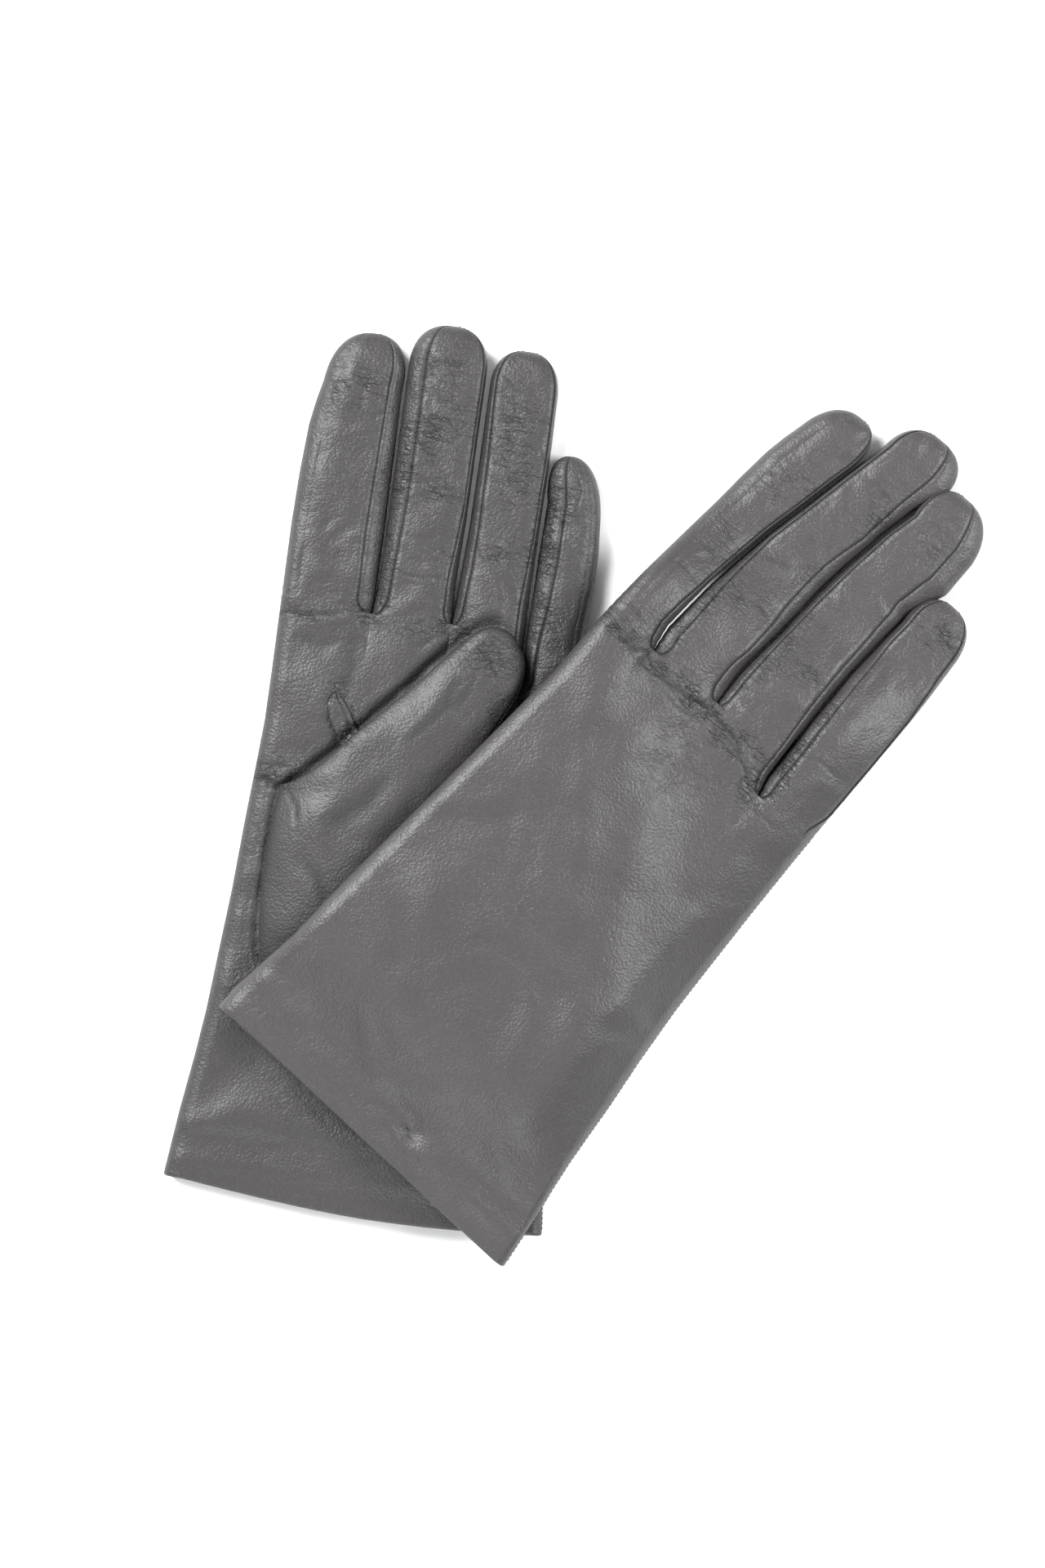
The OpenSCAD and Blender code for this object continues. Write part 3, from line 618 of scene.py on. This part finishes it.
# ---------------------------------------------------------------------------
# Fingers. Each is a back and a palm face joined by side strips (fourchettes) that
# run on round the crotch into the next finger. The seams are sewn from outside,
# so they sink between two soft lips, and meet over the fingertip.
# ---------------------------------------------------------------------------
finger_creases = {
    "left": (
        (((-33, 236), (-27, 234.5), (-24, 236)), 0.6, 0.22),
        (((-13, 212.3), (-7, 213.8), (-1, 212.9), (4.6, 214.2)), 0.5, 0.45),
        (((-10.5, 218.5), (-4, 217.2), (3, 214.8)), 0.45, 0.35),
        (((-13, 229), (-7, 227.4), (-2, 228.2)), 0.4, 0.28),
        (((-12.5, 254.5), (-6, 253.3), (0, 255.2)), 0.45, 0.35),
        (((-13, 190), (-8, 188.6), (-1, 189.4), (2, 188.4)), 0.5, 0.3),
        (((12.0, 196.2), (18, 199.4), (25, 200.9)), 0.45, 0.38),
        (((11, 251.5), (15, 248.2), (19, 247.0)), 0.45, 0.32),
        (((20, 243), (24, 239.8), (27, 240.2)), 0.45, 0.28),
        (((36.5, 226), (38.5, 221), (37.6, 216)), 0.45, 0.4),
        (((-18.5, 208), (-15.5, 209.5), (-13.8, 209)), 0.5, 0.3),
        (((-23.8, 192), (-21, 194), (-19.5, 193)), 0.5, 0.25),
    ),
    "right": (
        (((-18.5, 196.2), (-12, 197.4), (-5.3, 196.6)), 0.5, 0.38),
        (((-18.5, 210), (-10, 213.4), (-3, 218.5), (-0.5, 221)), 0.45, 0.42),
        (((-12, 247.4), (-6, 249), (-0.2, 246.5), (1.8, 238)), 0.45, 0.3),
        (((6.0, 191.5), (13, 192.8), (20.3, 190.2)), 0.5, 0.4),
        (((-40, 190), (-34, 192.2), (-28, 190.6)), 0.55, 0.3),
        (((-36, 200.4), (-31, 201.6), (-27, 200.0)), 0.5, 0.22),
        (((38, 228.5), (41, 225.2), (44, 226.2)), 0.5, 0.42),
        (((36, 231), (37.4, 226), (36.2, 221)), 0.5, 0.3),
        (((28, 172), (34, 174), (40, 172.6)), 0.6, 0.22),
    ),
}


def tip_rows(count):
    turn = np.linspace(0, 1, count + 1)[1:]
    return np.sin(turn * math.pi / 2)


def finger_sheet(side, f, d=0.0, coarse=1):
    start, end, end_u = fingertips[side][f]
    n_top, n_side, n_sole = top_steps // coarse, side_steps // coarse, sole_steps // coarse
    q = np.concatenate(
        [clustered(n_side), 1 + clustered(n_top), 2 + clustered(n_side),
         3 + np.linspace(0, 1, n_sole + 1)[:-1]]
    )
    q = np.append(q, 0.0)[None, :]
    shaft = np.linspace(0, 1, 110 // coarse)
    shaft = (0.35 * shaft + 0.65 * shaft**1.7)[:, None]
    v_start = crotch_row(side, f, q)
    tau = tip_rows(34 // coarse)[:, None]
    v = np.concatenate([v_start + (start - v_start) * shaft, start + (end - start) * tau + 0 * q])
    tau = np.concatenate([0 * shaft, tau]) + 0 * q
    on_shaft = np.minimum(v, start)
    low_table = hand_edges[side][0] if f == 0 else gaps[side][f - 1][1]
    high_table = hand_edges[side][1] if f == 3 else gaps[side][f][0]
    low, high = along_table(low_table, on_shaft), along_table(high_table, on_shaft)
    middle, half = (low + high) / 2, (high - low) / 2
    slim = np.maximum(1 - tau**2.35, 0) ** (1 / 2.35)
    middle = middle + (end_u - middle) * tau
    low, high = middle - half * slim, middle + half * slim
    thin = np.maximum(1 - tau**2.6, 0) ** (1 / 2.1)
    since = v - v_start
    insets, drops = [], []
    for k, outer in ((0, False), (1, True)):
        table = seam_insets[side][f][k]
        if table is None:
            inset = roll * (0.6 if outer else 1.0) + 0 * v
            drop = 0.08 + 0.10 * eased(since / 14)
        else:
            arc = np.clip(since / 4.5, 0, 1)
            inset = along_table(table, on_shaft) * np.sqrt(1 - (1 - arc) ** 2)
            if outer and f == 3:
                away = eased(since / 10)
                inset = 0.6 * roll * (1 - away) + along_table(table, on_shaft) * away
            drop = crotch_drop + (0.17 - crotch_drop) * eased(since / 12)
            if outer and f == 3:
                drop = 0.08 + 0.10 * eased(since / 14)
        insets.append(inset * slim)
        drops.append(drop)
    top = (crown + 0.5 * eased(since / 14)) * thin
    base = sole * thin
    offset = d * np.minimum(1, slim * 3)
    u, w = round_section(q, low, high, insets[0], insets[1], top, base, drops[0], drops[1], offset)
    return q, u, v, w, since, tau, thin


def seam_lips(side, f, q):
    """Sunk seams with a raised lip on either side, following the columns on each side of them, and the shade
    painted along their bottoms.
    """
    sunk, shade = 0.0, 0.0
    for seam_q, table in ((1.0, seam_insets[side][f][1]), (2.0, seam_insets[side][f][0]), (0.0, 1), (3.0, 1)):
        if table is None:
            continue
        away = np.abs(q - seam_q)
        strength = 1.0 if seam_q in (1.0, 2.0) else 0.5
        seam = np.exp(-((away / 0.022) ** 2))
        lip = np.exp(-(((away - 0.085) / 0.05) ** 2))
        sunk = sunk + strength * (0.17 * lip - 0.42 * seam)
        shade = np.maximum(shade, strength * seam)
    return sunk, shade


def placed_finger(side, f):
    q, u, v, w, since, tau, thin = finger_sheet(side, f)
    q = np.broadcast_to(q, u.shape)
    sunk, shade = seam_lips(side, f, q)
    upward = np.sign(w) * eased(np.abs(w) / 2.5)
    press, dark = pressed(u, v, finger_creases[side])
    press_hand, dark_hand = pressed(u, v, hand_creases[side])
    press, dark = press + press_hand, np.maximum(dark, dark_hand)
    ease_in = eased(since / 3.0)
    soft = waves(u, v, 21 + f, 26, 0.26, 0.2) + waves(u, v, 31 + f, 11, 0.14, 0.3)
    soft = soft + waves(u, v, 41 + f, 4.5, 0.04)
    side_wall = np.abs(np.mod(q + 0.5, 2.0) - 1.0) < 0.5
    puckers = 0.10 * np.sin(v * 2.1 + 3 * f) * np.exp(-since / 9) * side_wall
    outward = np.where(q < 1, 1.0, np.where((q > 2) & (q < 3), -1.0, 0.0))
    u = u + outward * (puckers + 0.5 * sunk) * thin
    w = w + (np.where(w > 0, soft * ease_in + press, 0.3 * soft * ease_in) + sunk) * upward * thin
    w = np.maximum(w + sole, 0.0)
    return laid(side, u, v, w), np.maximum(np.where(w > sole, dark, 0), shade * eased(since / 2))


def bend(piece):
    """Bakes the piece's placement into its mesh."""
    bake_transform(piece)


finger_skin = {}
for side in sides:
    for f, finger in enumerate(fingers):
        points, shade = placed_finger(side, f)
        parts = [f"{side}_{finger}_leather"]
        if finger in ("middle", "ring"):
            parts += [f"{side}_{finger}_radial_fourchette", f"{side}_{finger}_ulnar_fourchette"]
        else:
            parts += [f"{side}_{finger}_fourchette"]
        piece = sewn(f"{side}_{finger}_finger", points, shade, parts, nappa[side])
        bend(piece)
        finger_skin[side, finger] = points

# ---------------------------------------------------------------------------
# Thumbs. The thumb is a separate piece let into the palm along a straight seam,
# folded flat across it, with a small almond gusset (the quirk) beside it.
# ---------------------------------------------------------------------------
# Its two edges from the palm seam to the tip: web side, heel side, share of full height
thumb_rows = (
    (-38.9, 121.4, -37.5, 66.5, 0.04), (-37.2, 122.0, -34.5, 67.5, 0.30), (-33.2, 124.3, -29, 71, 0.62),
    (-26.5, 130.6, -20, 81, 0.88), (-17.3, 141.2, -8, 97, 1.0), (-4.4, 154.8, 6.5, 116, 1.0),
    (4, 164.9, 17, 133.5, 1.0), (10.4, 172.1, 25, 150, 0.97), (14.8, 175.9, 28.2, 157.5, 0.88),
    (18.9, 177.1, 29.1, 163.6, 0.7), (23.4, 175.7, 28.6, 168.4, 0.42), (26.2, 172.6, 26.8, 171.8, 0.05),
)
thumb_height = 8.4
thumb_creases = (
    (((8, 150), (13, 156), (15, 163)), 0.7, 0.4), (((-2, 140), (6, 149), (10, 158)), 1.2, 0.35),
    (((-22, 112), (-14, 118), (-8, 126)), 2.4, 0.5), (((-30, 100), (-24, 96), (-20, 88)), 1.8, 0.4),
    (((-36, 119), (-33, 115), (-32, 110)), 0.7, 0.5), (((15, 170), (19, 167), (21, 162)), 0.6, 0.3),
)


def smooth_rows(rows, count):
    """A smooth curve through the rows, with count steps between two of them."""
    rows = np.array(rows)
    padded = np.vstack([2 * rows[0] - rows[1], rows, 2 * rows[-1] - rows[-2]])
    made = []
    for k in range(1, len(padded) - 2):
        a, b, c, e = padded[k - 1 : k + 3]
        for t in np.linspace(0, 1, count + 1)[: None if k == len(padded) - 3 else -1]:
            bend_2, bend_3 = 2 * a - 5 * b + 4 * c - e, 3 * b - a - 3 * c + e
            made.append(0.5 * (2 * b + (c - a) * t + bend_2 * t * t + bend_3 * t**3))
    return np.array(made)


def thumb_sheet(side, d=0.0, around=96, steps=16):
    rows = smooth_rows(thumb_rows, steps)
    web, heel, share = rows[:, None, 0:2], rows[:, None, 2:4], np.clip(rows[:, 4:5], 0.03, 1)
    angle = np.linspace(0, 2 * math.pi, around + 1)[None, :]
    power = 2 / 2.5
    half = np.linalg.norm(heel - web, axis=2) / 2
    keep = np.maximum(half - d, 0.05) / half
    x = keep * np.sign(np.cos(angle)) * np.abs(np.cos(angle)) ** power
    flat = (web + heel) / 2 + (heel - web) / 2 * x[:, :, None]
    high = np.maximum(share * thumb_height / 2 - d, 0.03)
    up = high * np.sign(np.sin(angle)) * np.abs(np.sin(angle)) ** power
    travel = np.linspace(0, 1, len(rows))[:, None]
    flat[:, :, 0] -= 2.3 * (1 - x * x) * (1 - eased(travel / 0.3))
    off = 0.9 * eased((travel - 0.12) / 0.25)
    if side == "left":
        middle = waist + sole + 0.02 + off + share * thumb_height / 2
    else:
        middle = -off - share * thumb_height / 2
    return flat[:, :, 0], flat[:, :, 1], middle, up, angle, travel


def swing(piece, side):
    """Bakes the piece's placement into its mesh; the two points worked out from the side are not used."""
    spot = laid(side, np.array([-31.0, -5.0]), np.array([104.0, 133.0]), np.array([9.0, 9.0]))
    start, end = Vector(spot[0]), Vector(spot[1])
    end.z = start.z
    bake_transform(piece)


thumb_skin = {}
for side in sides:
    u, v, middle, up, angle, travel = thumb_sheet(side)
    press, dark = pressed(u, v, thumb_creases)
    soft = waves(u, v, 51, 26, 0.3, 0.3) + waves(u, v, 52, 12, 0.09, 0.3)
    full = eased(travel / 0.15) * (1 - eased((travel - 0.93) / 0.07))
    from_seam = np.abs(np.mod(angle - 0.42 + math.pi, 2 * math.pi) - math.pi)
    seam_line = np.exp(-((from_seam / 0.05) ** 2)) * eased((travel - 0.45) / 0.1)
    w = middle + up + np.where(up > 0, (soft + press) * eased(up / 1.5), 0.0) * full - 0.35 * seam_line * full
    thumb_skin[side] = laid(side, u, v, w)
    # Painted shade: dark where the thumb's edge lies on the palm, and along its sunk seam
    fold = 0.75 * np.exp(-((np.maximum(up, 0) / 1.6) ** 2))
    shade = np.maximum(np.maximum(np.where(up > 0.5, dark, 0), 0.9 * seam_line * full), fold)
    parts = [side + "_thumb_base_leather", side + "_thumb_leather"]
    piece = sewn(side + "_thumb", thumb_skin[side], shade, parts, nappa[side])
    swing(piece, side)

# ---------------------------------------------------------------------------
# Quirks. A small almond of the same leather is set into the palm beside each
# thumb, so that the thumb can open. It is folded, and sewn down all round.
# ---------------------------------------------------------------------------
quirk_rows = (
    (-26.6, 151.4, -25.4, 151.2, 0.15), (-28.0, 149.0, -24.0, 149.8, 0.8), (-28.3, 146.6, -22.0, 147.4, 1.0),
    (-27.3, 143.0, -19.6, 144.0, 1.0), (-25.4, 139.4, -17.4, 140.6, 0.95), (-22.8, 135.4, -15.6, 137.0, 0.8),
    (-19.4, 131.8, -14.6, 133.6, 0.3),
)


def on_skin(side, u, v):
    """Height of the upper face of a hand at these places, from its nearest points."""
    skin_u, skin_v, skin_w = hand_skin[side]
    upper = skin_w > 6.0
    near = [
        np.argmin((skin_u[upper] - a) ** 2 + (skin_v[upper] - b) ** 2)
        for a, b in zip(np.ravel(u), np.ravel(v))
    ]
    return skin_w[upper][near].reshape(np.shape(u))


for side in sides:
    rows = smooth_rows(quirk_rows, 8)
    across = np.linspace(0, 2 * math.pi, 49)[None, :]
    x = 0.5 - 0.5 * np.cos(across)
    u = rows[:, 0:1] + (rows[:, 2:3] - rows[:, 0:1]) * x
    v = rows[:, 1:2] + (rows[:, 3:4] - rows[:, 1:2]) * x
    rise = np.clip(rows[:, 4:5], 0.05, 1) * np.abs(np.sin(across)) ** 0.6
    fold = np.exp(-(((x - 0.68) / 0.07) ** 2)) * (across < math.pi)
    rim_shade = np.exp(-((np.minimum(x, 1 - x) / 0.05) ** 2))
    if side == "left":
        w = on_skin(side, u, v) - 0.25 + np.where(across < math.pi, 1.15 * rise - 0.55 * fold, -0.2 * rise)
    else:
        w = -0.1 - np.where(across < math.pi, 0.9 * rise - 0.3 * fold, -0.2 * rise)
    # Painted shade round the sewn rim of the quirk and along its fold
    shade = np.maximum(0.95 * rim_shade, 0.8 * fold)
    parts = [side + "_thumb_quirk"]
    piece = sewn(side + "_quirk", laid(side, u, v, w), shade, parts, nappa[side])
    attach(piece, side + "_palm")

# ---------------------------------------------------------------------------
# Linings. A thin grey-brown knit, cut like the glove and a little smaller, hangs
# inside each hand, finger and thumb. It starts at the hem and shows in the cuffs.
# ---------------------------------------------------------------------------
def knit_finish():
    material = bpy.data.materials.new("grey_knit")
    material.use_nodes = True
    tree = material.node_tree
    shader = tree.nodes["Principled BSDF"]
    dye = Dye(tree)
    place = dye.node("ShaderNodeTexCoord", output="Object")
    loop_size = {"Vector": place, "Scale": 290.0, "Distortion": 2.0}
    course = dye.node("ShaderNodeTexWave", {"bands_direction": "X"}, loop_size, "Fac")
    wale = dye.node("ShaderNodeTexWave", {"bands_direction": "Y"}, loop_size, "Fac")
    loops = course * wale
    shades = {0: loops, 6: (0.05, 0.047, 0.044, 1), 7: (0.16, 0.152, 0.145, 1)}
    yarn = dye.node("ShaderNodeMix", {"data_type": "RGBA"}, shades, 2)
    tree.links.new(yarn.socket, shader.inputs["Base Color"])
    bump = dye.node("ShaderNodeBump", {}, {"Strength": 0.6, "Distance": 0.0002, "Height": loops}, "Normal")
    tree.links.new(bump.socket, shader.inputs["Normal"])
    shader.inputs["Roughness"].default_value = 0.9
    return material


knit = knit_finish()
lining_inset = 2.3
for side in sides:
    reach = np.linspace(1.0, hem_depth / mean_reach, 90)[:, None]
    points, shade, _ = placed_hand(side, reach, lining_inset + 0 * reach)
    piece = sewn(side + "_hand_knit", points, 0 * shade, [side + "_hand_lining"], knit)
    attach(piece, side + "_palm")
    for f, finger in enumerate(fingers):
        _, u, v, w, _, _, _ = finger_sheet(side, f, lining_inset, 2)
        points = laid(side, u, v, w + sole)
        piece = sewn(f"{side}_{finger}_knit", points, 0 * v, [f"{side}_{finger}_lining"], knit)
        bend(piece)
    u, v, middle, up, _, _ = thumb_sheet(side, 1.8, 48, 6)
    points = laid(side, u, v, middle + up)
    piece = sewn(side + "_thumb_knit", points, 0 * u, [side + "_thumb_lining"], knit)
    swing(piece, side)

# ---------------------------------------------------------------------------
# Stitching. Black sewing thread, six or seven stitches to the centimetre, drawn down
# into the seams of the fingers, the thumb, the outer edge and the turned hem.
# ---------------------------------------------------------------------------
thread_finish = bpy.data.materials.new("black_thread")
thread_finish.use_nodes = True
thread_dye = Dye(thread_finish.node_tree)
thread_place = thread_dye.node("ShaderNodeTexCoord", output="Object")
twist = thread_dye.node("ShaderNodeTexNoise", {}, {"Vector": thread_place, "Scale": 3000.0}, "Fac")
thread_shader = thread_finish.node_tree.nodes["Principled BSDF"]
thread_shades = {0: twist, 6: (0.004, 0.004, 0.004, 1), 7: (0.02, 0.019, 0.02, 1)}
thread_tone = thread_dye.node("ShaderNodeMix", {"data_type": "RGBA"}, thread_shades, 2)
thread_finish.node_tree.links.new(thread_tone.socket, thread_shader.inputs["Base Color"])
thread_shader.inputs["Roughness"].default_value = 0.6
stitch_length, stitch_pitch, stitch_radius = 0.0011, 0.0015, 0.00019


def stitched(name, lines, parts):
    """Short stitches along each line of points, end to end with small gaps."""
    row = bmesh.new()
    for line in lines:
        line = np.asarray(line)
        steps = np.linalg.norm(np.diff(line, axis=0), axis=1)
        far = np.concatenate([[0], np.cumsum(steps)])
        for k in range(int(far[-1] / stitch_pitch)):
            ends = [
                Vector([np.interp(k * stitch_pitch + a, far, line[:, axis]) for axis in range(3)])
                for a in (0, stitch_length)
            ]
            along = ends[1] - ends[0]
            if along.length < 0.5 * stitch_length:
                continue
            turn = along.to_track_quat("Z", "Y").to_matrix().to_4x4()
            size = Matrix.Diagonal((stitch_radius, stitch_radius, along.length / 2, 1))
            bmesh.ops.create_uvsphere(
                row, u_segments=6, v_segments=4, radius=1,
                matrix=Matrix.Translation((ends[0] + ends[1]) / 2) @ turn @ size,
            )
    for face in row.faces:
        face.smooth = True
    mesh = bpy.data.meshes.new(name)
    row.to_mesh(mesh)
    row.free()
    piece = bpy.data.objects.new(name, mesh)
    bpy.context.collection.objects.link(piece)
    mesh.materials.append(thread_finish)
    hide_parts(*parts)
    return piece


seam_columns = (0, side_steps, side_steps + top_steps, 2 * side_steps + top_steps)
for side in sides:
    for f, finger in enumerate(fingers):
        skin = finger_skin[side, finger]
        # The forefinger has no seam on its thumb side, nor the left little finger on its outer side
        seams = {0: (0, 1), 3: (2, 3) if side == "left" else (0, 1, 2, 3)}.get(f, (0, 1, 2, 3))
        lines = [skin[4:-1, seam_columns[k]] for k in seams]
        piece = stitched(f"{side}_{finger}_stitches", lines, [f"{side}_{finger}_seam_thread"])
        bend(piece)
    u, v, w = hand_skin[side]
    edge = laid(side, u[:238, side_steps // 2], v[:238, side_steps // 2], w[:238, side_steps // 2])
    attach(stitched(side + "_side_stitches", [edge], [side + "_side_seam_thread"]), side + "_palm")
    hem, _, _ = placed_hand(side, np.array([[14.6 / mean_reach]]), np.array([[1.95]]))
    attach(stitched(side + "_hem_stitches", [hem[0]], [side + "_hem_thread"]), side + "_palm")
    seam = np.array(
        [(-39.3, 121), (-40.2, 115.3), (-40.5, 99), (-40.6, 87), (-40.8, 79.5), (-39.8, 72.3), (-37.8, 67.2)]
    )
    if side == "left":
        seam_w = on_skin(side, seam[:, 0], seam[:, 1]) + 0.05
    else:
        seam_w = np.full(len(seam), -0.05)
    thumb_seam = laid(side, seam[:, 0], seam[:, 1], seam_w)
    round_tip = thumb_skin[side][100:-4, 6]
    piece = stitched(side + "_thumb_stitches", [thumb_seam], [side + "_thumb_seam_thread"])
    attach(piece, side + "_palm")
    swing(stitched(side + "_thumb_tip_stitches", [round_tip], []), side)
    tack = np.array([(9.0, 11.0), (11.0, 10.3), (13.1, 9.8)])
    tack_w = on_skin(side, tack[:, 0], tack[:, 1]) + 0.05 if side == "right" else np.full(3, 2.2)
    piece = stitched(side + "_tack", [laid(side, tack[:, 0], tack[:, 1], tack_w)], [side + "_lining_tack"])
    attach(piece, side + "_palm")
